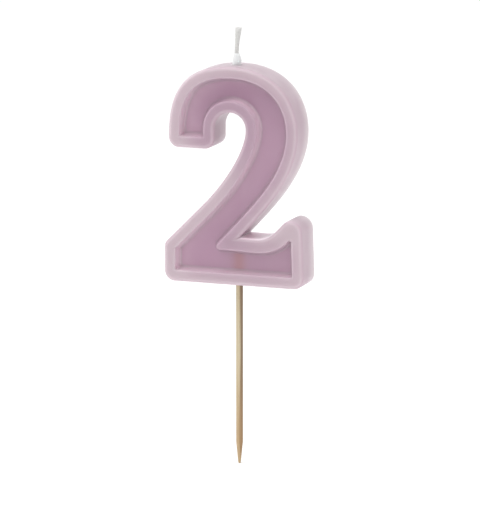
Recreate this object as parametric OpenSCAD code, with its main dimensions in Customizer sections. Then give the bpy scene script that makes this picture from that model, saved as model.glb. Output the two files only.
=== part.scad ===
// A number candle: the digit 2 cast in wax, on a bamboo pick that stands it in a cake,
// with a waxed cotton wick set in the top of its arch.
// Frame: origin where the pick's axis meets the flat foot of the digit, X to the right,
// +Z up, and the sunk front face towards -Y.

/* [Digit] */
// Height of the digit, which scales its outline
digit_h = 70; // [60:1:90]
// Thickness from front to back
digit_t = 12; // [10:0.5:16]
// Radius of the four square corners of the outline
corner_r = 3.4; // [2:0.1:4]
// Rounding of the edges round the front and the back
edge_r = 1; // [0.4:0.1:1.4]

/* [Sunk front] */
// Width of the raised rim, from the side wall to the sunk panel
rim_w = 3.8; // [2.5:0.1:4.2]
// Depth of the sunk panel below the rim
panel_depth = 2.8; // [1:0.1:4]
// Rounding of the rim's tip in the crook of the foot
tip_round = 1.1; // [0.5:0.1:1.5]

/* [Pick] */
// Diameter of the bamboo pick
pick_d = 2.3; // [2:0.1:3]
// Length below the digit, point included
pick_free = 59.3; // [40:0.1:80]
// Length of the point
point_len = 7; // [3:0.5:10]
// Width left at the blunt end of the point
point_d = 0.8; // [0.4:0.1:1.2]
// Length held inside the digit
pick_held = 16; // [10:1:24]
// Diameter of the held end, where it tapers off
held_d = 1.9; // [1.6:0.1:2]
// Gap all round between the held end and its socket
socket_gap = 0.04; // [0.02:0.01:0.1]

/* [Wick] */
// Diameter of the waxed cotton wick
wick_d = 1.5; // [1:0.1:1.8]
// Diameter across its splayed cut end
wick_end_d = 2; // [1.8:0.1:2.4]
// Length of the splayed end
wick_end_len = 1.8; // [1:0.1:3]
// Length of wick above the digit
wick_free = 11.9; // [8:0.1:16]
// Length of wick inside the digit
wick_held = 9; // [6:0.5:12]
// Lean of the free wick towards +X
wick_lean = 4; // [0:0.5:10]
// Diameter of the hole that the wick is sealed into
wick_hole_d = 3; // [2.6:0.1:3.4]
// Height of the wax collar that the sealing wax leaves round the wick
collar_h = 3.6; // [2:0.1:5]
// Diameter at the top of that collar
collar_top_d = 1.9; // [1.8:0.1:2.2]

/* [Hidden] */

// Pieces along each curve of the outline, along a corner, and round an edge
curve_steps = 12;
corner_steps = 5;
edge_steps = 4;
$fn = 48;
eps = 0.01;

// The outline is drawn for a digit 70 high and scaled from there
unit = digit_h / 70;

// Half width of the base, and where its left side turns into the slope
base_half = 23.5 * unit;
shoulder_z = 12.3 * unit;
shoulder_r = 3 * unit;

// Foot: the outer side leans in a little towards its round top
foot_r = 4 * unit;
foot_top = [19, 22] * unit;
foot_dip = [7.5, 15.5] * unit;

// Crook between the foot and the stroke
crook = [2, 15.6] * unit;

// Widest point of the bowl on the right, top of the arch, and outer side of the hook
bowl = [21.4, 49.3] * unit;
arch_top = [-1, 70] * unit;
hook_side = [-22, 47] * unit;

// Hook: underside and inner side
hook_z = 43.3 * unit;
hook_inner_x = -6.5 * unit;

// Counter: the half round inside the arch, and where the stroke's slope runs straight
counter = [-1.3, 50.1] * unit;
counter_r = 5.2 * unit;
slope_end = [-10.6, 25.2] * unit;

// Where the wick stands on the arch, and how far below the surface it starts to lean
wick_x = arch_top.x;
wick_root_z = digit_h - wick_held;
wick_bend_depth = 1;

function bezier(p0, p1, p2, p3, steps = curve_steps) = [
    for (i = [0 : steps]) let (t = i / steps, s = 1 - t)
        s*s*s * p0 + 3*s*s*t * p1 + 3*s*t*t * p2 + t*t*t * p3
];

function arc(centre, r, from, to, steps = corner_steps) = [
    for (i = [0 : steps]) let (a = from + (to - from) * i / steps)
        centre + r * [cos(a), sin(a)]
];

function unit_vector(v) = v / norm(v);

// Every point moved inwards, so that each side moves by d (anticlockwise outline)
function inset(path, d) = let (n = len(path)) [
    for (i = [0 : n - 1])
        let (
            before = unit_vector(path[i] - path[(i + n - 1) % n]),
            after = unit_vector(path[(i + 1) % n] - path[i]),
            along = unit_vector(before + after)
        )
        path[i] + [-along.y, along.x] * d / (along * after)
];

// Side of the base up to the foot's top, then the dip into the crook
function foot_outline() = concat(
    arc([-base_half + corner_r, corner_r], corner_r, 180, 270),
    arc([base_half - corner_r, corner_r], corner_r, 270, 360),
    arc([foot_top.x, foot_top.y - foot_r], foot_r, 0, 75),
    bezier(foot_top, foot_top - [3.4, 0] * unit, foot_dip + [7.1, 0] * unit, foot_dip)
);

// Right of the stroke, over the arch and down the outer side of the hook
function arch_outline() = concat(
    bezier(crook, crook + [7.5, 8.1] * unit, bowl - [0, 14] * unit, bowl),
    skip_first(bezier(bowl, bowl + [0, 10.6] * unit, arch_top + [15.4, 0] * unit, arch_top)),
    skip_first(bezier(arch_top, arch_top - [17.3, 0] * unit,
                      hook_side + [0, 12.2] * unit, hook_side))
);

// Under the hook, round the counter and down the slope to the base
function hook_outline() = concat(
    arc([hook_side.x + corner_r, hook_z + corner_r], corner_r, 180, 270),
    arc([hook_inner_x - corner_r, hook_z + corner_r], corner_r, 270, 360),
    arc(counter, counter_r, 180, 0, curve_steps),
    bezier(counter + [counter_r, -0.2 * unit], counter + [counter_r, -6.2 * unit],
           slope_end + [8.4, 8.4] * unit, slope_end),
    arc([-base_half + shoulder_r, shoulder_z - 0.414 * shoulder_r], shoulder_r, 135, 180, 3)
);

function skip_first(path) = [for (i = [1 : len(path) - 1]) path[i]];

function digit_outline() = concat(foot_outline(), arch_outline(), hook_outline());

// Square corners of the panel, inside the rounded corners of the outline
module panel_corners() {
    low = rim_w;
    side = base_half - rim_w;
    translate([-side, low]) square([2 * side, 2 * rim_w]);
    translate([hook_side.x + rim_w, hook_z + rim_w])
        square([hook_inner_x - hook_side.x - 2 * rim_w, 2 * rim_w]);
}

// The rim widens over the foot: the panel stays below this curve
module foot_rim() {
    polygon(concat(
        [[-7.4, 11.3] * unit],
        bezier([7.5, 10.9] * unit, [12.5, 10.9] * unit, [15.5, 12.2] * unit, [19.5, 16.4] * unit),
        [[24, 21] * unit, [24, 30] * unit, [2, 17] * unit]
    ));
}

module panel() {
    offset(r = -tip_round) offset(delta = tip_round)
        difference() {
            union() {
                offset(delta = -rim_w) polygon(digit_outline());
                panel_corners();
            }
            foot_rim();
        }
}

// The outline as a slab, with the same rounding along its front and back edges. The ball
// is drawn a little large, because its faceted rings lie just inside its true surface.
module rounded_slab(path, thickness, r) {
    minkowski() {
        rotate([90, 0, 0]) translate([0, 0, r - thickness / 2])
            linear_extrude(thickness - 2 * r) polygon(inset(path, r));
        sphere(r / cos(45 / edge_steps), $fn = 4 * edge_steps);
    }
}

// The socket follows the tapered end of the pick
module pick_socket() {
    translate([0, 0, -eps])
        cylinder(d1 = pick_d + 2 * socket_gap, d2 = held_d + 2 * socket_gap, h = pick_held + eps);
}

module wick_hole(d) {
    translate([wick_x, 0, wick_root_z]) cylinder(d = d, h = wick_held + 2);
}

// Wax digit: one casting with a sunk front panel
module digit_body() {
    color([0.80, 0.68, 0.76])
        difference() {
            rounded_slab(digit_outline(), digit_t, edge_r);
            translate([0, -digit_t / 2 + panel_depth, 0]) rotate([90, 0, 0])
                linear_extrude(panel_depth + 1) panel();
            pick_socket();
            wick_hole(wick_hole_d);
        }
}

// Bamboo pick: pointed below, slightly tapered where the digit holds it
module pick() {
    shaft = pick_free - point_len;
    color([0.85, 0.74, 0.55]) {
        cylinder(d1 = pick_d, d2 = held_d, h = pick_held);
        translate([0, 0, -shaft]) cylinder(d = pick_d, h = shaft);
        translate([0, 0, -pick_free]) cylinder(d1 = point_d, d2 = pick_d, h = point_len);
    }
}

// Cotton wick: upright in its hole, leaning from just below the surface, splayed at its cut end
module wick() {
    stem = wick_free + wick_bend_depth - wick_end_len;
    bend_z = digit_h - wick_bend_depth;
    color([0.93, 0.93, 0.91]) {
        translate([wick_x, 0, wick_root_z])
            cylinder(d = wick_d - 0.1, h = bend_z - wick_root_z + 0.3);
        translate([wick_x, 0, bend_z]) rotate([0, wick_lean, 0]) {
            cylinder(d = wick_d, h = stem);
            translate([0, 0, stem])
                cylinder(d1 = wick_d, d2 = wick_end_d, h = wick_end_len);
        }
    }
}

// Sealing wax: fills the hole round the wick and leaves a tapered collar above it
module wick_seal() {
    color([0.92, 0.91, 0.92])
        difference() {
            union() {
                translate([wick_x, 0, wick_root_z]) cylinder(d = wick_hole_d, h = wick_held);
                translate([wick_x, 0, digit_h])
                    cylinder(d1 = wick_hole_d, d2 = collar_top_d, h = collar_h);
            }
            wick();
        }
}

digit_body();
pick();
wick();
wick_seal();
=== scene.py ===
# %% [markdown]
# # A number candle, the digit 2
# The real candle is one casting of lilac wax with a sunk front, held up by a bamboo pick.
# A waxed cotton wick stands in its top, sealed with a little white wax.
# The CAD frame gives every place and size. This lesson builds what the eye sees around it:
# soft edges, translucent wax, bamboo fibres and a braided wick.

# %% Load the frame
import bpy
import bmesh
import math
import numpy as np
from mathutils import Matrix, Vector, noise
from mathutils.geometry import delaunay_2d_cdt


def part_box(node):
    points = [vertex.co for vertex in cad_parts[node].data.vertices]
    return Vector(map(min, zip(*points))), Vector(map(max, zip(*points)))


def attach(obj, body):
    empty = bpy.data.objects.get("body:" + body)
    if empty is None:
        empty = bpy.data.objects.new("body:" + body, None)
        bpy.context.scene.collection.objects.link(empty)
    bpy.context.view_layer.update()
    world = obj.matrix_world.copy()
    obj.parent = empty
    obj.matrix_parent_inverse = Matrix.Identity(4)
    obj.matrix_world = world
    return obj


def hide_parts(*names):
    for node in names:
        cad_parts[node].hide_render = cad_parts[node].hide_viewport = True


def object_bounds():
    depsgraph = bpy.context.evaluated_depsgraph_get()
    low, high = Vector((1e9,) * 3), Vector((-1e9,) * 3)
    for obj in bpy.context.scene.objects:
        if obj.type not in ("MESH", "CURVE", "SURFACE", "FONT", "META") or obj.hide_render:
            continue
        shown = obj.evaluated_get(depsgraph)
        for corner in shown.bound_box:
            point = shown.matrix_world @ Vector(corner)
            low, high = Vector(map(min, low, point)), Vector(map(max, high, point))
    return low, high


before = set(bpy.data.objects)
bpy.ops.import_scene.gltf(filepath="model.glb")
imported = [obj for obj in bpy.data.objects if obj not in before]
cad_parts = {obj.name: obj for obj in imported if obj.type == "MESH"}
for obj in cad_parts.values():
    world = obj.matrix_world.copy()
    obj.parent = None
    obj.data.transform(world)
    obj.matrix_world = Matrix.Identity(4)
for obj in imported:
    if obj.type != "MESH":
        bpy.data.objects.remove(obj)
cad_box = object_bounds()

MM = 0.001
body_lo, body_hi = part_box("digit_body")
pick_lo, pick_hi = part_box("pick")
wick_lo, wick_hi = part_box("wick")
seal_lo, seal_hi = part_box("wick_seal")
DIGIT_H = body_hi.z - body_lo.z
DIGIT_T = body_hi.y - body_lo.y
UNIT = DIGIT_H / 70
print("digit", round(DIGIT_H / MM, 2), "mm high,", round(DIGIT_T / MM, 2), "mm thick")

# %% [markdown]
# ## Node sums
# Materials and Geometry Nodes both need a lot of arithmetic. Wrapping a socket in a small
# class lets it be written as a Python sum, and each operator adds the Math node it needs.

# %% Sock, a socket that can be added and multiplied


class Sock:
    """An output socket of a node. Sums on it add Math nodes to its tree."""

    def __init__(self, socket):
        self.socket = socket

    @staticmethod
    def node(tree, kind, settings=(), values=(), out=0):
        """Adds a node: its settings first, then the value or the link of each named input."""
        made = tree.nodes.new(kind)
        for name, value in dict(settings).items():
            setattr(made, name, value)
        for name, value in dict(values).items():
            for one in value if isinstance(value, list) else [value]:
                if isinstance(one, Sock):
                    tree.links.new(one.socket, made.inputs[name])
                else:
                    made.inputs[name].default_value = one
        return Sock(made.outputs[out]) if made.outputs else None

    def out(self, name):
        """Another output of the same node."""
        return Sock(self.socket.node.outputs[name])

    def math_node(self, operation, *values):
        """A Math node in the same tree, with the values in their order."""
        return Sock.node(self.socket.id_data, "ShaderNodeMath", {"operation": operation},
                         dict(enumerate(values)))

    def math(self, operation, *others):
        return self.math_node(operation, self, *others)

    def __add__(self, other):
        return self.math("ADD", other)

    def __radd__(self, other):
        return self.math_node("ADD", other, self)

    def __sub__(self, other):
        return self.math("SUBTRACT", other)

    def __rsub__(self, other):
        return self.math_node("SUBTRACT", other, self)

    def __mul__(self, other):
        return self.math("MULTIPLY", other)

    def __rmul__(self, other):
        return self.math_node("MULTIPLY", other, self)

    def __truediv__(self, other):
        return self.math("DIVIDE", other)

    def __rtruediv__(self, other):
        return self.math_node("DIVIDE", other, self)

    def between(self, low, high):
        """The value held between two limits."""
        return self.math("MAXIMUM", low).math("MINIMUM", high)

    def rise(self, start, end):
        """0 before start, 1 after end, and a smooth rise from one to the other."""
        return Sock.node(self.socket.id_data, "ShaderNodeMapRange",
                         {"interpolation_type": "SMOOTHSTEP"},
                         {"Value": self, "From Min": start, "From Max": end})

    def bell(self, centre, width):
        """1 at the centre, falling off smoothly on both sides over about one width."""
        away = (self - centre) / width
        return (away * away * -1).math("EXPONENT")

    def mix(self, low, high):
        """A colour between low and high, with this value as the share of high."""
        return Sock.node(self.socket.id_data, "ShaderNodeMix", {"data_type": "RGBA"},
                         {0: self, 6: low, 7: high}, out=2)


def linear(red, green, blue, lit=1.0):
    """A colour given as 0 to 255, as the linear light that a shader works in. lit says how
    much light falls on it in this studio, so that the colour is the one that is seen."""
    parts = [value / 255 for value in (red, green, blue)]
    light = [p / 12.92 if p <= 0.04045 else ((p + 0.055) / 1.055) ** 2.4 for p in parts]
    return (*(p / lit for p in light), 1.0)


# %% [markdown]
# ## The outline of the digit
# A plastic master for such a mould is drawn with lines, arcs and smooth curves, so the outline
# is made of the same few. Each ring inside it is that outline moved inwards, corner by corner,
# with the same number of points, so that neighbouring rings join up in clean quads.

# %% Curves for the outline, in millimetres of a 70 mm digit


def arc(x, z, r, start, end, steps=10):
    """Points round a centre, from one angle to another, in degrees."""
    angles = [math.radians(start + (end - start) * i / steps) for i in range(steps + 1)]
    return [Vector((x + r * math.cos(a), z + r * math.sin(a))) for a in angles]


def bezier(p0, p1, p2, p3, steps=24, shift=0.0, until=1.0):
    """Points along a curve, each moved to its left by shift. until leaves out its last part."""
    points = []
    for i in range(steps + 1):
        t = i / steps
        s = 1 - t
        if until < t < 1:
            continue
        here = [s**3 * a + 3 * s * s * t * b + 3 * s * t * t * c + t**3 * d
                for a, b, c, d in zip(p0, p1, p2, p3)]
        way = [s * s * (b - a) + 2 * s * t * (c - b) + t * t * (d - c)
               for a, b, c, d in zip(p0, p1, p2, p3)]
        way = Vector(way).normalized()
        points.append(Vector(here) + shift * Vector((-way.y, way.x)))
    return points


def foot_dip(shift=0.0):
    return bezier((19, 22), (15.6, 22), (14.6, 15.5), (7.5, 15.5), 20, shift)


def stroke(shift=0.0):
    return bezier((2, 15.6), (9.5, 23.7), (21.4, 35.3), (21.4, 49.3), 60, shift)


def arch(shift=0.0, until=1.0):
    right = bezier((21.4, 49.3), (21.4, 59.9), (14.4, 70), (-1, 70), 50, shift)
    left = bezier((-1, 70), (-18.3, 70), (-22, 59.2), (-22, 47), 52, shift, until)
    return right[1:] + left[1:]


def slope(shift=0.0):
    return bezier((3.9, 49.9), (3.9, 43.9), (-2.2, 33.6), (-10.6, 25.2), 40, shift)


OUTLINE = (
    arc(-20.1, 3.4, 3.4, 180, 270) + arc(20.1, 3.4, 3.4, 270, 360) + arc(19, 18, 4, 0, 75)
    + foot_dip() + stroke() + arch()
    + arc(-18.6, 46.7, 3.4, 180, 270) + arc(-9.9, 46.7, 3.4, 270, 360)
    + arc(-1.3, 50.1, 5.2, 180, 0, 24) + slope() + arc(-20.5, 11.06, 3, 135, 180, 5)
)
print("outline of", len(OUTLINE), "points")

# %% [markdown]
# The sunk panel follows the outline 3.8 mm in, with square corners where the outline is round.
# Over the foot the rim is wider, and its tip in the crook is round.

# %% Sunk panel: its points, and which of them are corners to soften

RIM = 3.8
TIP_R = 1.1
tip_line = Vector((7.5, 10.9)) - Vector((-7.4, 11.3))
stroke_line = Vector((7.5, 8.1))


def rim_tip(centre_shift):
    """The round tip of the rim, between the foot's rim line and the stroke's."""
    foot_way = -tip_line.normalized()
    stroke_way = stroke_line.normalized()
    foot_out = Vector((foot_way.y, -foot_way.x))
    stroke_out = Vector((stroke_way.y, -stroke_way.x))
    start = Vector((7.5, 10.9)) + centre_shift * foot_out
    side = stroke(RIM)[0] + centre_shift * stroke_out
    cross = foot_way.x * stroke_way.y - foot_way.y * stroke_way.x
    gap = side - start
    along = (gap.x * stroke_way.y - gap.y * stroke_way.x) / cross
    centre = start + foot_way * along
    first = math.degrees(math.atan2(-foot_out.y, -foot_out.x))
    last = math.degrees(math.atan2(-stroke_out.y, -stroke_out.x))
    return arc(centre.x, centre.y, centre_shift, first, last - 360 if last > first else last, 10)


foot_side = [Vector((19.7, 3.8)), Vector((19.25, 16.15))]
foot_rim = bezier((19.5, 16.4), (15.5, 12.2), (12.5, 10.9), (7.5, 10.9), 20)[4:]
PANEL = (
    [Vector((-19.7, 3.8))] + foot_side + foot_rim + rim_tip(TIP_R)
    + stroke(RIM) + arch(RIM, 0.95)[:-1] + [Vector((-18.2, 47.1)), Vector((-10.3, 47.1))]
    + arc(-1.3, 50.1, 5.2 + RIM, 180, 0, 30) + slope(RIM) + [Vector((-19.7, 10.73))]
)
print("panel of", len(PANEL), "points")

# %% [markdown]
# A ring is made in three steps: move every side inwards, soften the sharp corners with a small
# arc, and split long sides. Splitting last keeps the points of all rings in step.

# %% Rings at any distance from a line


def neighbours(path):
    return list(zip(path[-1:] + path[:-1], path, path[1:] + path[:1]))


def inset(path, distance):
    """Every side moved to its left by the distance, with the corners kept sharp."""
    moved = []
    for before, here, after in neighbours(path):
        coming = (here - before).normalized()
        going = (after - here).normalized()
        along = (coming + going).normalized()
        moved.append(here + distance / along.dot(going) * Vector((-along.y, along.x)))
    return moved


def sharp_corners(path, limit=30):
    """The numbers of the points where the path turns by more than limit degrees, to the left."""
    found = []
    for i, (before, here, after) in enumerate(neighbours(path)):
        turn = (here - before).angle_signed(after - here)
        if -turn > math.radians(limit):
            found.append(i)
    return found


def soften(before, here, after, r, steps=5):
    """A small arc of radius r in place of one corner."""
    back = (before - here).normalized()
    on = (after - here).normalized()
    half = back.angle(on) / 2
    centre = here + (back + on).normalized() * (r / math.sin(half))
    start = here + back * (r / math.tan(half)) - centre
    turn = math.pi - 2 * half
    return [centre + Matrix.Rotation(turn * i / steps, 2) @ start for i in range(steps + 1)]


def split_counts(path, step):
    return [max(1, round((after - here).length / step)) for _, here, after in neighbours(path)]


def ring(path, distance, corner_r, step=0.7):
    """The closed ring at that distance inside the path, as points in millimetres."""
    corners = sharp_corners(path)
    rings = []
    for shift, r in ((0, 0.5), (distance, corner_r)):
        points = []
        for i, (before, here, after) in enumerate(neighbours(inset(path, shift))):
            points += soften(before, here, after, r) if i in corners else [here]
        rings.append(points)
    base, moved = rings
    full = []
    for count, (_, here, after) in zip(split_counts(base, step), neighbours(moved)):
        full += [here.lerp(after, i / count) for i in range(count)]
    return full


print("corners of the panel:", [tuple(round(c, 1) for c in PANEL[i]) for i in sharp_corners(PANEL)])

# %% [markdown]
# ## The plan of the digit
# Seen from the front, every point of the casting has one height, which depends only on how far
# it is from the outline and from the panel's edge. So a flat plan carries those two distances,
# and a node tree turns them into the relief. Rings lie close together where the surface bends.

# %% Distances of the rings

EDGE_R = 1.0
LIP_R = 0.45
FILLET_R = 0.78
WALL_DRAFT = 0.45
PANEL_DEPTH = 2.8
QUARTER = [math.radians(22.5 * i) for i in range(5)]

edge_steps = [EDGE_R * (1 - math.cos(math.radians(15 * i))) for i in range(7)] + [EDGE_R + 0.2]
lip_steps = [-LIP_R - 0.12] + [LIP_R * (math.sin(a) - 1) for a in QUARTER]
wall_steps = [WALL_DRAFT / 3, WALL_DRAFT * 2 / 3]
fillet_steps = [WALL_DRAFT + FILLET_R * (1 - math.cos(a)) for a in QUARTER]
panel_steps = lip_steps + wall_steps + fillet_steps + [WALL_DRAFT + FILLET_R + 0.06]
print(len(edge_steps), "rings round the edge,", len(panel_steps), "down into the panel")

# %% [markdown]
# Between the rings lie flat areas: the rim's face and the panel's floor. They are filled with
# small, even triangles, because long thin ones would shade badly once the surface is uneven.

# %% Points and triangles for a flat area


def inside(points, loop):
    """Which of the points lie inside a closed loop."""
    x, z = points[:, 0], points[:, 1]
    hit = np.zeros(len(points), bool)
    for (ax, az), (bx, bz) in zip(loop, np.roll(loop, -1, 0)):
        if az != bz:
            crossing = (az > z) != (bz > z)
            hit ^= crossing & (x < ax + (z - az) / (bz - az) * (bx - ax))
    return hit


ROW_GAP = 0.866     # rows of a triangular grid, as a share of its step


def spread_points(loops, step):
    """A triangular grid of points inside the first loop and outside the others, clear of all."""
    edge = np.concatenate(loops)
    low, high = edge.min(0), edge.max(0)
    grid = [(low[0] + step * (i + j % 2 / 2), low[1] + step * ROW_GAP * j)
            for j in range(int((high[1] - low[1]) / step / ROW_GAP) + 1)
            for i in range(int((high[0] - low[0]) / step) + 1)]
    grid = np.array(grid)
    grid = grid[inside(grid, loops[0])]
    for hole in loops[1:]:
        grid = grid[~inside(grid, hole)]
    gaps = np.linalg.norm(grid[:, None] - edge[None], axis=2).min(1)
    return grid[gaps > 0.55 * step]


def fill(loops, step=1.1):
    """Points and triangles between closed loops. The loops' own points come first."""
    loops = [np.array([tuple(p) for p in loop]) for loop in loops]
    grid = spread_points(loops, step)
    edges = []
    first = 0
    for loop in loops:
        numbers = list(range(first, first + len(loop)))
        edges += list(zip(numbers, numbers[1:] + numbers[:1]))
        first += len(loop)
    points = [Vector(p) for p in np.concatenate([*loops, grid])]
    made = delaunay_2d_cdt(points, edges, [], 0, 1e-6)
    source = [origin[0] for origin in made[3]]
    middles = np.array([np.mean([made[0][v][:] for v in face], axis=0) for face in made[2]])
    keep = inside(middles, loops[0])
    for hole in loops[1:]:
        keep &= ~inside(middles, hole)
    faces = [[source[v] for v in face] for face, wanted in zip(made[2], keep) if wanted]
    return grid, faces


# %% The rings, joined by quads

FAR = 9.0           # stands for a distance too long to matter, in millimetres
rings = [ring(OUTLINE, d, 0.5) for d in edge_steps]
rings += [ring(PANEL, d, max(0.12, 0.5 - 0.4 * d)) for d in panel_steps]
plan_points = []
plan_faces = []
starts = []
for points, d in zip(rings, edge_steps + panel_steps):
    starts.append(len(plan_points))
    on_edge = len(starts) <= len(edge_steps)
    plan_points += [(p.x, p.y, d if on_edge else FAR, -FAR if on_edge else d) for p in points]
for group in (range(len(edge_steps) - 1), range(len(edge_steps), len(rings) - 1)):
    for k in group:
        count = len(rings[k])
        for i in range(count):
            j = (i + 1) % count
            plan_faces.append([starts[k] + i, starts[k] + j, starts[k + 1] + j, starts[k + 1] + i])
quads = len(plan_faces)
print(len(rings), "rings and", quads, "quads")

# %% The rim's flat and the panel's floor

last_edge = len(edge_steps) - 1
for loop_numbers, side in (((last_edge, last_edge + 1), -FAR), ((len(rings) - 1,), FAR)):
    grid, faces = fill([rings[k] for k in loop_numbers])
    numbers = [starts[k] + i for k in loop_numbers for i in range(len(rings[k]))]
    numbers += [len(plan_points) + i for i in range(len(grid))]
    plan_points += [(x, z, FAR, side) for x, z in grid]
    plan_faces += [[numbers[v] for v in face] for face in faces]
print("plan:", quads, "quads and", len(plan_faces) - quads, "triangles")


# %% [markdown]
# How pale the wax looks at a point depends on how much wax there is around it, so the plan also
# carries that share. It is counted a little towards the light, which comes from the upper left.

# %% How much wax is around each point

WAX_REACH = 8.0
TOWARDS_LIGHT = np.array((-2.2, 0.9))


def wax_around(points, step=1.1):
    """The share of the nearby plan that is wax, lower at a corner than in the middle."""
    grid = spread_points([np.array([tuple(p) for p in rings[0]])], step)
    share = step * step * ROW_GAP / (math.pi * WAX_REACH ** 2)
    looked_at = np.array(points) + TOWARDS_LIGHT
    gaps = ((looked_at[:, None] - grid[None]) ** 2).sum(2)
    return np.exp(-gaps / WAX_REACH ** 2).sum(1) * share


around = wax_around([p[:2] for p in plan_points])
print("wax around a point, from", around.min().round(2), "to", around.max().round(2))

# %% The plan as a mesh, with its three attributes


def new_object(name, points, faces, edges=()):
    """An object at the origin, from points in metres."""
    mesh = bpy.data.meshes.new(name)
    mesh.from_pydata(points, edges, faces)
    made = bpy.data.objects.new(name, mesh)
    bpy.context.scene.collection.objects.link(made)
    return made


flat_points = [(x * UNIT, 0, z * UNIT) for x, z, _, _ in plan_points]
plan = new_object("digit_plan", flat_points, plan_faces)
for name, column in (("edge_in", 2), ("panel_in", 3)):
    layer = plan.data.attributes.new(name, "FLOAT", "POINT")
    layer.data.foreach_set("value", [p[column] * UNIT for p in plan_points])
plan.data.attributes.new("wax_around", "FLOAT", "POINT").data.foreach_set("value", around)
print("plan:", len(plan.data.vertices), "points, with", len(plan.data.attributes), "attributes")

# %% [markdown]
# ## Wax
# Candle wax lets light in and spreads it, so thin rims look paler than the thick middle, and
# the pick shows as a warm shadow through the panel. Subsurface light does part of this.
# The rest is painted into the colour: painted light on a paler rim, painted shade on a deeper
# panel, then cloudy patches, and fine dents for the gloss.

# %% A material, its object coordinates and its surface shader


def new_material(name):
    """A node material with only its output, and its tree."""
    material = bpy.data.materials.new(name)
    material.use_nodes = True
    material.node_tree.nodes.clear()
    return material, material.node_tree


def surface(tree, constants, links):
    """The surface shader. Constants are set on its own sockets."""
    shader = Sock.node(tree, "ShaderNodeBsdfPrincipled", {}, {**constants, **links})
    Sock.node(tree, "ShaderNodeOutputMaterial", {}, {"Surface": shader})


def coordinates(tree):
    """Object coordinates, and their three parts."""
    place = Sock.node(tree, "ShaderNodeTexCoord", out=3)
    x = Sock.node(tree, "ShaderNodeSeparateXYZ", {}, {0: place})
    return place, x, x.out("Y"), x.out("Z")


def noise_at(tree, place, scale, detail=2.0, stretch=(1, 1, 1), roughness=0.5):
    """Soft noise from about 0.3 to 0.7. The scale is lumps per metre, stretched per axis."""
    moved = Sock.node(tree, "ShaderNodeMapping", {}, {"Vector": place, "Scale": stretch})
    return Sock.node(tree, "ShaderNodeTexNoise", {},
                     {"Vector": moved, "Scale": scale, "Detail": detail, "Roughness": roughness})


def attribute(tree, name):
    return Sock.node(tree, "ShaderNodeAttribute", {"attribute_name": name}, out=2)


def bump(tree, height, distance, strength=1.0):
    """A normal bent by a height from 0 to 1, times a distance in metres."""
    return Sock.node(tree, "ShaderNodeBump", {},
                     {"Height": height, "Distance": distance, "Strength": strength})


# %% Tones of the wax

LIT = 1.16
# THIN_WAX and THICK_WAX are painted light and shade on the rim: paler where the wax is thin.
THIN_WAX = linear(200, 182, 190, LIT)
THICK_WAX = linear(181, 154, 170, LIT)
# PALE_WAX is painted light on the rim's edge and the sides' back, and the lilac under the seal.
PALE_WAX = linear(213, 200, 205, LIT)
SIDE_WAX = linear(192, 168, 180, LIT)
# Painted shade on the top of the arch.
TOP_SHADE_WAX = linear(190, 173, 181, LIT)
CLOUD_WAX = linear(212, 192, 202, LIT)
# Painted sheen: whitish streaks on the upper sides.
SHEEN_WAX = linear(222, 211, 216, LIT)
# PANEL_WAX is the panel's deeper tone, painted shade on the same wax.
PANEL_WAX = linear(184, 147, 170, LIT)
# Painted shadow on the panel, up under the arch.
PANEL_SHADOW_WAX = linear(170, 131, 156, LIT)
# Painted light on the panel beside its lit wall.
PANEL_GLOW_WAX = linear(202, 166, 187, LIT)
CREVICE_WAX = linear(230, 206, 218, LIT)
CROOK_WAX = linear(252, 238, 246, LIT)
CROOK_ROSE = linear(242, 218, 230, LIT)
# The pick's painted shadow, warm with its colour, seen through the wax.
PICK_SHADOW_WAX = linear(180, 132, 138, LIT)
print("the thin wax, in linear light:", [round(part, 2) for part in THIN_WAX[:3]])

# %% Clouds, streaks and distances that the tones follow

wax, tree = new_material("lilac_wax")
place, x, y, z = coordinates(tree)
facing = Sock.node(tree, "ShaderNodeSeparateXYZ", {}, {0: place.out("Normal")})
upward = facing.out("Z").rise(0.4, 0.9)
panel_in = attribute(tree, "panel_in")
on_front = attribute(tree, "front")
edge_in = attribute(tree, "edge_in")
thickness = attribute(tree, "wax_around")
clouds = noise_at(tree, place, 130, 3.0)
streaks = noise_at(tree, place, 60, 2.0, (1.0, 1.0, 0.35))
specks = noise_at(tree, place, 900, 2.0)
print("patterns:", len(tree.nodes), "nodes so far")

# %% [markdown]
# The panel is the deepest tone, as painted shade. It has painted shadow in the arch and painted
# light beside its left wall, and the pick's end shows through it as a warm painted shadow. The rim
# goes from pale to deep with the wax around it, as painted light, and has painted shade round the
# counter, the half-round opening, where wax on all sides keeps light out.

# %% Panel and rim

PICK_SHOWS_TO = 17 * MM
COUNTER = (-3 * MM, 50 * MM)

# Painted shadow: the panel darkens up into the arch, where its upper wall keeps light off.
panel_colour = z.rise(40 * MM, 64 * MM).mix(PANEL_WAX, PANEL_SHADOW_WAX)
# Painted light: the panel is paler where little wax is around it, beside its left wall.
panel_colour = thickness.rise(0.88, 0.5).mix(panel_colour, PANEL_GLOW_WAX)
# Painted shadow of the pick, seen through the panel up to the pick's end.
pick_shadow = x.bell(1.0 * MM, 2.0 * MM) * z.rise(PICK_SHOWS_TO, 9 * MM) * 0.95
panel_colour = pick_shadow.mix(panel_colour, PICK_SHADOW_WAX)
# Painted shade on the rim round the counter.
counter_shade = x.bell(COUNTER[0], 14 * MM) * z.bell(COUNTER[1], 15 * MM) * 0.5
# Painted light and shade: the rim is paler where little wax is around it, deeper where there is
# much.
rim_tone = (thickness + counter_shade + (clouds - 0.5) * 0.12).rise(0.44, 0.98)
rim_colour = rim_tone.mix(THIN_WAX, THICK_WAX)
# Painted light: the rim pales towards its outer edge, where light comes through the rounded wax.
rim_colour = (edge_in.rise(1.8 * MM, 0) * 0.5).mix(rim_colour, PALE_WAX)
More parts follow.
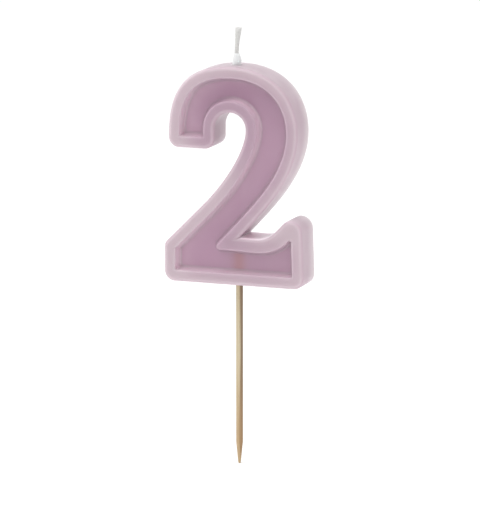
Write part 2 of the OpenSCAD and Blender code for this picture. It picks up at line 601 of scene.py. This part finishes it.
# Painted shade: the sunk panel is deeper than the rim, as less light reaches it.
front_colour = (panel_in.rise(-0.3 * MM, 2.6 * MM) * on_front).mix(rim_colour, panel_colour)
print("front:", len(tree.nodes), "nodes so far")

# %% [markdown]
# Real wax glows a little where it bends inwards, because light reaches such a place through the
# wax. A render loses part of that, so two hollows are painted paler: the panel's walls that face
# the light, and the crook between the foot and the stroke. The sides have painted light towards
# the back, where light comes through the thin wax, and whitish streaks up high as a painted sheen.

# %% Walls, sides and crook

lit_wall = (facing * 0.8 + facing.out("Z") * 0.3).rise(-0.1, 0.6)
crevice = panel_in.rise(-0.3 * MM, 0.3 * MM) * lit_wall * on_front * 0.85
front_colour = crevice.mix(front_colour, CREVICE_WAX)
# Painted light: the sides pale towards the back, where light comes through the thin wax.
side_colour = (y + (clouds - 0.5) * 5 * MM).rise(-1 * MM, 5 * MM).mix(SIDE_WAX, PALE_WAX)
# Painted sheen: whitish streaks high on the sides.
sheen_streaks = streaks.rise(0.48, 0.66) * z.rise(30 * MM, 50 * MM) * 0.7
side_colour = sheen_streaks.mix(side_colour, SHEEN_WAX)
crook = x.rise(-2 * MM, 1 * MM) * x.rise(25 * MM, 9 * MM) * z.rise(26 * MM, 20 * MM)
crook_colour = x.rise(5 * MM, 10 * MM).mix(CROOK_ROSE, CROOK_WAX)
side_colour = (crook * upward).mix(side_colour, crook_colour)
# Painted shade: the top of the arch is darker where it faces up.
side_colour = (z.rise(54 * MM, 64 * MM) * upward * 0.6).mix(side_colour, TOP_SHADE_WAX)
print("sides:", len(tree.nodes), "nodes so far")

# %% Surface of the wax

colour = edge_in.rise(0.9 * MM, 0.1 * MM).mix(front_colour, side_colour)
colour = (streaks.rise(0.3, 0.7) * 0.12).mix(colour, CLOUD_WAX)
dents = bump(tree, clouds * 0.8 + specks * 0.06, 0.25 * MM, 0.6)
surface(tree,
        {"Subsurface Weight": 0.8, "Subsurface Radius": (1.0, 1.0, 1.0),
         "Subsurface Scale": 4.5 * MM, "IOR": 1.44, "Coat Weight": 0.1, "Coat Roughness": 0.22},
        {"Base Color": colour, "Roughness": clouds.rise(0.3, 0.7) * 0.16 + 0.34, "Normal": dents})
print("wax:", len(tree.nodes), "nodes")

# %% [markdown]
# ## Relief
# The node tree lifts the plan: a quarter round along the outline, a small lip, a drafted wall
# and a fillet down to the panel. The same plan, turned over, is the flat back, and the outline
# is drawn out between them as side walls. Slow noise then takes off a few hundredths of a
# millimetre, as poured wax is never quite flat.

# %% A geometry tree, with named inputs


def new_tree(name, inputs):
    """A geometry tree. inputs are (name, kind, value); returns its input sockets by name."""
    tree = bpy.data.node_groups.new(name, "GeometryNodeTree")
    tree.interface.new_socket("Geometry", in_out="INPUT", socket_type="NodeSocketGeometry")
    for title, kind, _ in inputs:
        tree.interface.new_socket(title, in_out="INPUT", socket_type="NodeSocket" + kind)
    tree.interface.new_socket("Geometry", in_out="OUTPUT", socket_type="NodeSocketGeometry")
    source = Sock.node(tree, "NodeGroupInput")
    return tree, {"Geometry": source, **{title: source.out(title) for title, _, _ in inputs}}


def close_tree(tree, geometry, material):
    """Ends a tree: instances made real, shaded smooth, with their material."""
    real = Sock.node(tree, "GeometryNodeRealizeInstances", {}, {0: geometry})
    smooth = Sock.node(tree, "GeometryNodeSetShadeSmooth", {}, {0: real})
    done = Sock.node(tree, "GeometryNodeSetMaterial", {}, {0: smooth, "Material": material})
    Sock.node(tree, "NodeGroupOutput", {}, {0: done})


def run_tree(source, tree, inputs, name):
    """Runs the tree on an object and returns the result as a plain mesh object."""
    modifier = source.modifiers.new("nodes", "NODES")
    modifier.node_group = tree
    sockets = {item.name: item for item in tree.interface.items_tree if item.in_out == "INPUT"}
    for title, _, value in inputs:
        modifier[sockets[title].identifier] = value
    return bake(source, name)


def bake(source, name):
    """The object with its modifiers worked out, as a new plain mesh object."""
    seen = source.evaluated_get(bpy.context.evaluated_depsgraph_get())
    mesh = bpy.data.meshes.new_from_object(seen)
    bpy.data.objects.remove(source)
    mesh.name = name
    made = bpy.data.objects.new(name, mesh)
    bpy.context.scene.collection.objects.link(made)
    return made


def tidy(piece):
    """Merges doubles and turns every face outwards. Prints what the piece is made of."""
    form = bmesh.new()
    form.from_mesh(piece.data)
    bmesh.ops.remove_doubles(form, verts=form.verts, dist=0.001 * MM)
    bmesh.ops.recalc_face_normals(form, faces=form.faces)
    open_edges = sum(1 for edge in form.edges if len(edge.link_faces) != 2)
    if form.calc_volume(signed=True) < 0:
        bmesh.ops.reverse_faces(form, faces=form.faces)
    form.to_mesh(piece.data)
    print(piece.name, len(form.faces), "faces,", open_edges, "open edges,",
          round(form.calc_volume() / MM**3), "mm3")
    form.free()


# %% The relief's inputs, and small helpers for heights

relief_inputs = [
    ("Thickness", "Float", DIGIT_T), ("Edge radius", "Float", EDGE_R * UNIT),
    ("Panel depth", "Float", PANEL_DEPTH * UNIT), ("Lip radius", "Float", LIP_R * UNIT),
    ("Wall draft", "Float", WALL_DRAFT * UNIT), ("Fillet radius", "Float", FILLET_R * UNIT),
    ("Unevenness", "Float", 0.07 * MM), ("Lumps per metre", "Float", 110.0), ("Seed", "Float", 4.0),
]
WALL_ROWS = 10
tree, given = new_tree("digit_relief", relief_inputs)


def named(title):
    return Sock.node(tree, "GeometryNodeInputNamedAttribute", {"data_type": "FLOAT"},
                     {"Name": title})


def round_drop(reach, r):
    """How far a quarter round of radius r has dropped, where reach goes from 0 to r."""
    left = (r * r - reach * reach).math("MAXIMUM", 0.0).math("SQRT")
    return r - left


def lift(geometry, height):
    offset = Sock.node(tree, "ShaderNodeCombineXYZ", {}, {"Y": height})
    return Sock.node(tree, "GeometryNodeSetPosition", {}, {"Geometry": geometry, "Offset": offset})


print("relief inputs:", ", ".join(given))

# %% How far each point of the front drops

thick, edge_r = given["Thickness"], given["Edge radius"]
lip_r, draft, fillet_r = given["Lip radius"], given["Wall draft"], given["Fillet radius"]
depth = given["Panel depth"]
panel_in = named("panel_in")
edge_drop = round_drop(edge_r - named("edge_in").math("MINIMUM", edge_r), edge_r)
lip_drop = round_drop((panel_in + lip_r).math("MAXIMUM", 0.0).math("MINIMUM", lip_r), lip_r)
wall_drop = (panel_in / draft).between(0.0, 1.0) * (depth - lip_r - fillet_r)
to_floor = (fillet_r + draft - panel_in).math("MAXIMUM", 0.0).math("MINIMUM", fillet_r)
fillet_drop = fillet_r - round_drop(to_floor, fillet_r)
panel_drop = lip_drop + wall_drop + fillet_drop
print("drops:", len(tree.nodes), "nodes so far")

# %% Front, back, and the walls drawn out between them

front = lift(given["Geometry"], edge_drop + panel_drop - thick * 0.5)
front = Sock.node(tree, "GeometryNodeStoreNamedAttribute", {"data_type": "FLOAT"},
                  {"Geometry": front, "Name": "front", "Value": 1.0})
back = lift(given["Geometry"], thick * 0.5 - edge_drop)
back = Sock.node(tree, "GeometryNodeFlipFaces", {}, {0: back})
row = Sock.node(tree, "ShaderNodeCombineXYZ", {}, {"Y": (thick - edge_r * 2) / WALL_ROWS})
walls = front
rim_edge = Sock.node(tree, "GeometryNodeInputMeshEdgeNeighbors").math("COMPARE", 1.0, 0.1)
for _ in range(WALL_ROWS):
    walls = Sock.node(tree, "GeometryNodeExtrudeMesh", {"mode": "EDGES"},
                      {"Mesh": walls, "Selection": rim_edge, "Offset": row, "Offset Scale": 1.0})
    rim_edge = walls.out("Top")
whole = Sock.node(tree, "GeometryNodeJoinGeometry", {}, {0: [walls, back]})
whole = Sock.node(tree, "GeometryNodeMergeByDistance", {}, {0: whole, "Distance": 0.004 * MM})
print("walls of", WALL_ROWS, "rows")

# %% Slow noise takes a little off, and the tree runs

lumps = Sock.node(tree, "ShaderNodeTexNoise", {"noise_dimensions": "4D"},
                  {"W": given["Seed"], "Scale": given["Lumps per metre"], "Detail": 1.0})
outward = Sock.node(tree, "GeometryNodeInputNormal")
shrink = Sock.node(tree, "ShaderNodeVectorMath", {"operation": "SCALE"},
                   {0: outward, "Scale": lumps * given["Unevenness"] * -1})
whole = Sock.node(tree, "GeometryNodeSetPosition", {}, {"Geometry": whole, "Offset": shrink})
close_tree(tree, whole, wax)
digit = run_tree(plan, tree, relief_inputs, "wax_digit")
tidy(digit)

# %% [markdown]
# The pick's socket and the wick's hole are drilled out of the finished casting, each with a
# small flare at its mouth. A boolean cut does this cleanly, and shows when the pick is out.

# %% Turned shapes, and drilling with them


def turned(name, profile, x=0.0, sides=48, out_of_round=None):
    """A closed shape turned round a vertical axis, from (height, radius) pairs in metres."""
    points = []
    for z, r in profile:
        for i in range(sides):
            a = 2 * math.pi * i / sides
            wide = r * (1 + out_of_round(a, z)) if out_of_round else r
            points.append((x + wide * math.cos(a), wide * math.sin(a), z))
    faces = []
    for k in range(len(profile) - 1):
        for i in range(sides):
            j = (i + 1) % sides
            faces.append((k * sides + i, k * sides + j, (k + 1) * sides + j, (k + 1) * sides + i))
    for first, height in ((0, profile[0][0]), ((len(profile) - 1) * sides, profile[-1][0])):
        points.append((x, 0, height))
        for i in range(sides):
            faces.append((first + i, first + (i + 1) % sides, len(points) - 1))
    made = new_object(name, points, faces)
    for polygon in made.data.polygons:
        polygon.use_smooth = True
    tidy(made)
    return made


def drill(piece, cutter):
    """Cuts the shape out of the piece, and throws the cutter away."""
    cut = piece.modifiers.new("hole", "BOOLEAN")
    cut.operation = "DIFFERENCE"
    cut.solver = "EXACT"
    cut.object = cutter
    made = bake(piece, piece.name)
    bpy.data.objects.remove(cutter)
    tidy(made)
    return made


# %% The pick's socket and the wick's hole

PICK_R = pick_hi.x
HELD_R = 0.95 * MM
HELD_TOP = pick_hi.z
GAP = 0.04 * MM
HOLE_R = seal_hi.x - (seal_lo.x + seal_hi.x) / 2
WICK_X = (seal_lo.x + seal_hi.x) / 2
WICK_ROOT = wick_lo.z
socket_profile = [(-1 * MM, PICK_R + 0.35 * MM), (0.12 * MM, PICK_R + 0.25 * MM),
                  (0.4 * MM, PICK_R + GAP), (HELD_TOP, HELD_R + GAP)]
digit = drill(digit, turned("socket", socket_profile))
hole_profile = [(WICK_ROOT, HOLE_R), (DIGIT_H - 0.45 * MM, HOLE_R),
                (DIGIT_H - 0.05 * MM, HOLE_R + 0.22 * MM), (DIGIT_H + 1 * MM, HOLE_R + 0.4 * MM)]
digit = drill(digit, turned("wick_hole", hole_profile, WICK_X))
print("digit from", [round(v / MM, 2) for v in digit.bound_box[0]],
      "to", [round(v / MM, 2) for v in digit.bound_box[6]])

# %% [markdown]
# ## The bamboo pick
# Bamboo picks are split from the stalk and drawn through a round die, so they are not quite
# round, long fibres run down them, and a side that was near the skin is darker. The shape is
# turned, with fibres as shallow grooves, and its point is cut with flat faces.

# %% How the pick's radius changes, along it and round it

POINT_LEN = 7 * MM
POINT_R = 0.4 * MM
POINT_FACES = 7


def pick_radius(z):
    if z < pick_lo.z + POINT_LEN:
        t = (z - pick_lo.z) / POINT_LEN
        return POINT_R + (PICK_R - POINT_R) * t ** 0.92
    return PICK_R + (HELD_R - PICK_R) * max(0.0, z / HELD_TOP)


def fibres(a, z):
    """Grooves between the fibres, and flats on the point, as a share of the radius."""
    around = Vector((math.cos(a), math.sin(a), 0)) * 3.2
    groove = noise.noise(around * 2.2 + Vector((0, 0, z / MM * 0.03)))
    bow = noise.noise(around * 0.3 + Vector((5, 0, z / MM * 0.02)))
    flat_a = (a % (2 * math.pi / POINT_FACES)) - math.pi / POINT_FACES
    flat = math.cos(math.pi / POINT_FACES) / math.cos(flat_a) - 1
    cut = max(0.0, min(1.0, (pick_lo.z + POINT_LEN - z) / (1.5 * MM)))
    return -0.035 * (groove + 0.5) - 0.02 * (bow + 0.5) + 0.6 * flat * cut


# %% The pick is turned from levels that lie close together on its point

SHAFT_ROWS = 90
levels = [pick_lo.z + 0.25 * MM * i for i in range(4)]
levels += [levels[-1] + 0.45 * MM * (i + 1) for i in range(12)]
shaft = HELD_TOP - 0.3 * MM - levels[-1]
levels += [levels[-1] + shaft * (i + 1) / SHAFT_ROWS for i in range(SHAFT_ROWS)]
profile = [(pick_lo.z, POINT_R * 0.55)] + [(z, pick_radius(z)) for z in levels[1:]]
profile += [(HELD_TOP - 0.08 * MM, HELD_R - 0.05 * MM), (HELD_TOP, HELD_R - 0.25 * MM)]
pick = turned("bamboo_pick", profile, sides=64, out_of_round=fibres)

# %% [markdown]
# Bamboo's tone comes from long fibres, so every noise here is stretched along the pick. One side
# was near the skin of the stalk and is much darker, and the wood is warmer towards the point.

# %% Bamboo

BAMBOO = linear(200, 183, 148, LIT)
BAMBOO_PALE = linear(214, 200, 170, LIT)
FIBRE = linear(172, 138, 96, LIT)
SKIN_SIDE = linear(122, 96, 68, LIT)
POINT_TONE = linear(190, 148, 100, LIT)

bamboo, tree = new_material("bamboo")
place, x, _, z = coordinates(tree)
grain = noise_at(tree, place, 1.0, 3.0, (3800, 3800, 70), 0.6)
bands = noise_at(tree, place, 1.0, 2.0, (1300, 1300, 25))
pores = noise_at(tree, place, 1.0, 1.0, (6500, 6500, 500))
tone = grain.rise(0.35, 0.68).mix(BAMBOO_PALE, BAMBOO)
tone = (bands.rise(0.5, 0.72) * 0.6).mix(tone, FIBRE)
tone = (pores.rise(0.62, 0.75) * 0.5).mix(tone, FIBRE)
skin = (x / PICK_R + (bands - 0.5) * 0.9).rise(0.12, 0.62)
tone = (skin * 0.85).mix(tone, SKIN_SIDE)
near_point = (z + (grain - 0.5) * 6 * MM).rise(pick_lo.z + 40 * MM, pick_lo.z + 4 * MM)
tone = (near_point * 0.5).mix(tone, POINT_TONE)
fibre_bump = bump(tree, grain * 0.7 + bands * 0.5, 0.05 * MM, 0.7)
surface(tree, {"IOR": 1.5, "Subsurface Weight": 0.05, "Subsurface Radius": (1.0, 0.6, 0.3),
               "Subsurface Scale": 0.4 * MM},
        {"Base Color": tone, "Roughness": grain * 0.3 + 0.42, "Normal": fibre_bump})
pick.data.materials.append(bamboo)
print("bamboo:", len(tree.nodes), "nodes")

# %% [markdown]
# ## The wick
# A cotton wick is a small round braid, soaked in wax. Each strand follows the wick while it
# winds round it, half of them one way and half the other, and goes over and under at every
# crossing. Towards its cut end the braid opens out. Geometry Nodes copies one path into strands
# and bends each by its own number. A remesh then melts the strands, and the wax between them,
# into one skin.

# %% Wick path: straight up from the seal, then leaning

wick_top = wick_hi.z - 0.18 * MM
LEAN_FROM = DIGIT_H + 3.4 * MM
LEAN_BY = 0.72 * MM


def wick_x(z):
    t = max(0.0, (z - LEAN_FROM) / (wick_top - LEAN_FROM))
    return WICK_X + LEAN_BY * t ** 1.35


count = 80
path = [(wick_x(z), 0, z) for z in
        (WICK_ROOT + (wick_top - WICK_ROOT) * i / count for i in range(count + 1))]
line = new_object("wick_path", path, [], [(i, i + 1) for i in range(count)])
print("wick from", round(WICK_ROOT / MM, 1), "to", round(wick_top / MM, 1), "mm")

# %% [markdown]
# Cotton that is full of wax is nearly white and lets some light through. Its fluff still shows
# as a fine change of tone, but the wax has filled most of the grain.

# %% Waxed cotton

COTTON = linear(224, 224, 222, LIT)
COTTON_SHADE = linear(210, 210, 207, LIT)
cotton, tree = new_material("waxed_cotton")
place, *_ = coordinates(tree)
fluff = noise_at(tree, place, 2600, 3.0, (1, 1, 0.5))
film = noise_at(tree, place, 700, 2.0)
tone = fluff.rise(0.35, 0.7).mix(COTTON_SHADE, COTTON)
surface(tree, {"IOR": 1.44, "Subsurface Weight": 0.5, "Subsurface Radius": (1.0, 1.0, 0.95),
               "Subsurface Scale": 0.7 * MM},
        {"Base Color": tone, "Roughness": film * 0.3 + 0.38,
         "Normal": bump(tree, fluff, 0.02 * MM, 0.4)})

# %% The braid's inputs, and its strands

braid_inputs = [
    ("Strands", "Int", 6), ("Braid radius", "Float", 0.43 * MM), ("Weave", "Float", 0.02 * MM),
    ("Strand radius", "Float", 0.27 * MM), ("Pitches", "Float", 4.0),
    ("Spread", "Float", 0.78), ("Fray", "Float", 0.12 * MM), ("Core radius", "Float", 0.665 * MM),
    ("Core spread", "Float", 0.5), ("Seed", "Int", 3),
]
tree, given = new_tree("braided_wick", braid_inputs)
curve = Sock.node(tree, "GeometryNodeMeshToCurve", {}, {0: given["Geometry"]})
curve = Sock.node(tree, "GeometryNodeResampleCurve", {"mode": "COUNT"}, {0: curve, "Count": 260})
strands = Sock.node(tree, "GeometryNodeDuplicateElements", {"domain": "SPLINE"},
                    {0: curve, "Amount": given["Strands"]})
print("braid inputs:", ", ".join(given))

# %% Where each strand runs

number = strands.out("Duplicate Index")
along = Sock.node(tree, "GeometryNodeSplineParameter")
pairs = given["Strands"] / 2
way = number.math("MODULO", 2) * 2 - 1
crossings = along * given["Pitches"] * pairs * 2
over = (crossings * math.pi).math("COSINE") * way
turn = (along * given["Pitches"] * way + (number / 2).math("FLOOR") / pairs) * (2 * math.pi)
open_out = along.rise(0.72, 1.0)
weave = over * given["Weave"] * (1 - open_out)
reach = (weave + given["Braid radius"]) * (open_out * given["Spread"] + 1)
own_length = Sock.node(tree, "FunctionNodeRandomValue", {"data_type": "FLOAT"},
                       {2: -1.0, 3: 0.3, "ID": number, "Seed": given["Seed"]}, out=1)
offset = Sock.node(tree, "ShaderNodeCombineXYZ", {}, {
    "X": turn.math("COSINE") * reach, "Y": turn.math("SINE") * reach,
    "Z": own_length * given["Fray"] * along.rise(0.93, 1.0)})
strands = Sock.node(tree, "GeometryNodeSetPosition", {}, {"Geometry": strands, "Offset": offset})
print("strands:", len(tree.nodes), "nodes so far")

# %% Strands and core become tubes


def tube(line, r, sides, swell=1.0):
    round_line = Sock.node(tree, "GeometryNodeCurvePrimitiveCircle", {},
                           {"Resolution": sides, "Radius": r})
    return Sock.node(tree, "GeometryNodeCurveToMesh", {},
                     {0: line, "Profile Curve": round_line, "Scale": swell, "Fill Caps": True})


swell = open_out * given["Core spread"] + 1
braid = Sock.node(tree, "GeometryNodeJoinGeometry", {}, {
    0: [tube(strands, given["Strand radius"], 10), tube(curve, given["Core radius"], 16, swell)]})
close_tree(tree, braid, cotton)
wick = run_tree(line, tree, braid_inputs, "braided_wick")
print("braid of", len(wick.data.polygons), "faces")

# %% Melt the strands into one waxed skin


def melt(piece, voxel):
    """Overlapping parts as one closed skin. The remesh needs a voxel that isn't tiny in
    Blender's own unit, so the shape is enlarged to millimetres and shrunk back afterwards."""
    piece.data.transform(Matrix.Scale(1 / MM, 4))
    skin = piece.modifiers.new("melt", "REMESH")
    skin.mode = "VOXEL"
    skin.voxel_size = voxel / MM
    skin.use_smooth_shade = True
    soft = piece.modifiers.new("soft", "SMOOTH")
    soft.iterations = 12
    made = bake(piece, piece.name)
    made.data.transform(Matrix.Scale(MM, 4))
    tidy(made)
    return made


wick = melt(wick, 0.055 * MM)
wick.data.materials.clear()
wick.data.materials.append(cotton)

# %% [markdown]
# ## Sealing wax
# A drop of white wax holds the wick in its hole. It set a little fuller on one side, so it is
# built as a stack of rings whose reach changes round the wick.

# %% The drop's shape

SEAL_TOP = seal_hi.z
drop_levels = [(0.0, 0.95), (0.06, 0.93), (0.13, 0.93), (0.22, 0.93), (0.34, 0.91), (0.46, 0.87),
               (0.58, 0.81), (0.7, 0.74), (0.8, 0.67), (0.88, 0.61), (0.94, 0.56), (0.98, 0.52),
               (1.0, 0.46)]


def drop_reach(a, z):
    """The drop is fuller on the right, and slightly lumpy all round."""
    up = max(0.0, (z - DIGIT_H) / (SEAL_TOP - DIGIT_H))
    side = math.cos(a)
    spot = Vector((math.cos(a), math.sin(a), z / MM * 0.55))
    lump = noise.noise(spot * 1.3 + Vector((3.1, 0, 0)))
    return min(1.0, up * 4) * (0.42 * side * up * (1.15 - up) + 0.12 * lump)


profile = [(WICK_ROOT, HOLE_R - 0.03 * MM), (DIGIT_H - 0.8 * MM, HOLE_R - 0.03 * MM),
           (DIGIT_H - 0.55 * MM, HOLE_R - 0.08 * MM), (DIGIT_H - 0.3 * MM, HOLE_R * 0.93)]
profile += [(DIGIT_H + (SEAL_TOP - DIGIT_H) * t, HOLE_R * r) for t, r in drop_levels]
seal = turned("sealing_wax", profile, WICK_X, 56, drop_reach)

# %% [markdown]
# The drop is cloudy white. At its foot, where it is thin, the lilac below shows through.

# %% White wax

WHITE_WAX = linear(245, 247, 247, LIT)
WHITE_SHADE = linear(233, 235, 235, LIT)
white, tree = new_material("white_wax")
place, _, _, z = coordinates(tree)
cloudy = noise_at(tree, place, 480, 3.0)
tinted = z.rise(DIGIT_H + 0.5 * MM, DIGIT_H - 0.2 * MM) * 0.6
tone = tinted.mix(cloudy.rise(0.35, 0.7).mix(WHITE_SHADE, WHITE_WAX), PALE_WAX)
surface(tree, {"IOR": 1.44, "Subsurface Weight": 0.6, "Subsurface Radius": (1.0, 1.0, 1.0),
               "Subsurface Scale": 1.2 * MM, "Coat Weight": 0.1, "Coat Roughness": 0.2},
        {"Base Color": tone, "Roughness": cloudy * 0.25 + 0.26,
         "Normal": bump(tree, cloudy, 0.12 * MM, 0.6)})
seal.data.materials.append(white)
print("white wax:", len(tree.nodes), "nodes")

# %% [markdown]
# ## Joining the frame
# Each piece rides on the CAD body that carries it, and stands for its CAD solid.

# %% Bodies, CAD nodes and finishes

for piece, body, node, finish in (
    (digit, "candle", "digit_body", "wax"), (pick, "pick", "pick", "bamboo"),
    (wick, "candle", "wick", "cotton"), (seal, "candle", "wick_seal", "white_wax"),
):
    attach(piece, body)
    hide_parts(node)
    print(piece.name, "rides on", body)

# %% [markdown]
# ## Studio
# A product shot on white: a wide pale floor, light from all round, and one broad soft lamp
# above. The lens is long and far away, so the digit keeps its proportions.

# %% A pale floor

floor = new_object("floor", [(-6, -6, cad_box[0].z), (6, -6, cad_box[0].z),
                             (6, 6, cad_box[0].z), (-6, 6, cad_box[0].z)], [(0, 1, 2, 3)])
paper, tree = new_material("pale_floor")
place, *_ = coordinates(tree)
surface(tree, {"Roughness": 0.8, "Specular IOR Level": 0.2},
        {"Base Color": noise_at(tree, place, 40).mix(linear(250, 250, 250), linear(253, 253, 253))})
floor.data.materials.append(paper)
print("floor at", round(cad_box[0].z / MM, 1), "mm")

# %% Light from all round, and one soft lamp

world = bpy.data.worlds.new("studio")
bpy.context.scene.world = world
world.use_nodes = True
world.node_tree.nodes["Background"].inputs["Color"].default_value = (1.0, 1.0, 1.0, 1.0)
world.node_tree.nodes["Background"].inputs["Strength"].default_value = 1.0
bpy.context.scene.view_settings.view_transform = "Standard"


def softbox(name, place, width, power):
    """A square lamp that faces the middle of the digit."""
    lamp = bpy.data.lights.new(name, "AREA")
    lamp.size = width
    lamp.energy = power
    made = bpy.data.objects.new(name, lamp)
    made.location = place
    towards = Vector((0, 0, DIGIT_H / 2)) - made.location
    made.rotation_euler = towards.to_track_quat("-Z", "Y").to_euler()
    bpy.context.scene.collection.objects.link(made)


softbox("top_softbox", Vector((-0.3, -0.2, 0.9)), 0.7, 4.0)
print("lamps:", len(bpy.data.lights))

# %% [markdown]
# The camera stands to the right of the front and a little above, so the sunk front, the right
# side and the top of the arch are all seen.

# %% Camera

AZIMUTH, ELEVATION = math.radians(20.24), math.radians(11.03)
DISTANCE = 1.2731
AIM = Vector((0.134, 0.05, 9.46)) * MM
back = Vector((math.sin(AZIMUTH) * math.cos(ELEVATION), -math.cos(AZIMUTH) * math.cos(ELEVATION),
               math.sin(ELEVATION)))
lens = bpy.data.cameras.new("camera")
lens.lens = 284.58
lens.clip_start, lens.clip_end = 0.1, 30
camera = bpy.data.objects.new("camera", lens)
camera.location = AIM + back * DISTANCE
camera.rotation_euler = (-back).to_track_quat("-Z", "Y").to_euler()
bpy.context.scene.collection.objects.link(camera)
bpy.context.scene.camera = camera
print("camera", round(DISTANCE, 2), "m away, with a lens of", round(lens.lens), "mm")
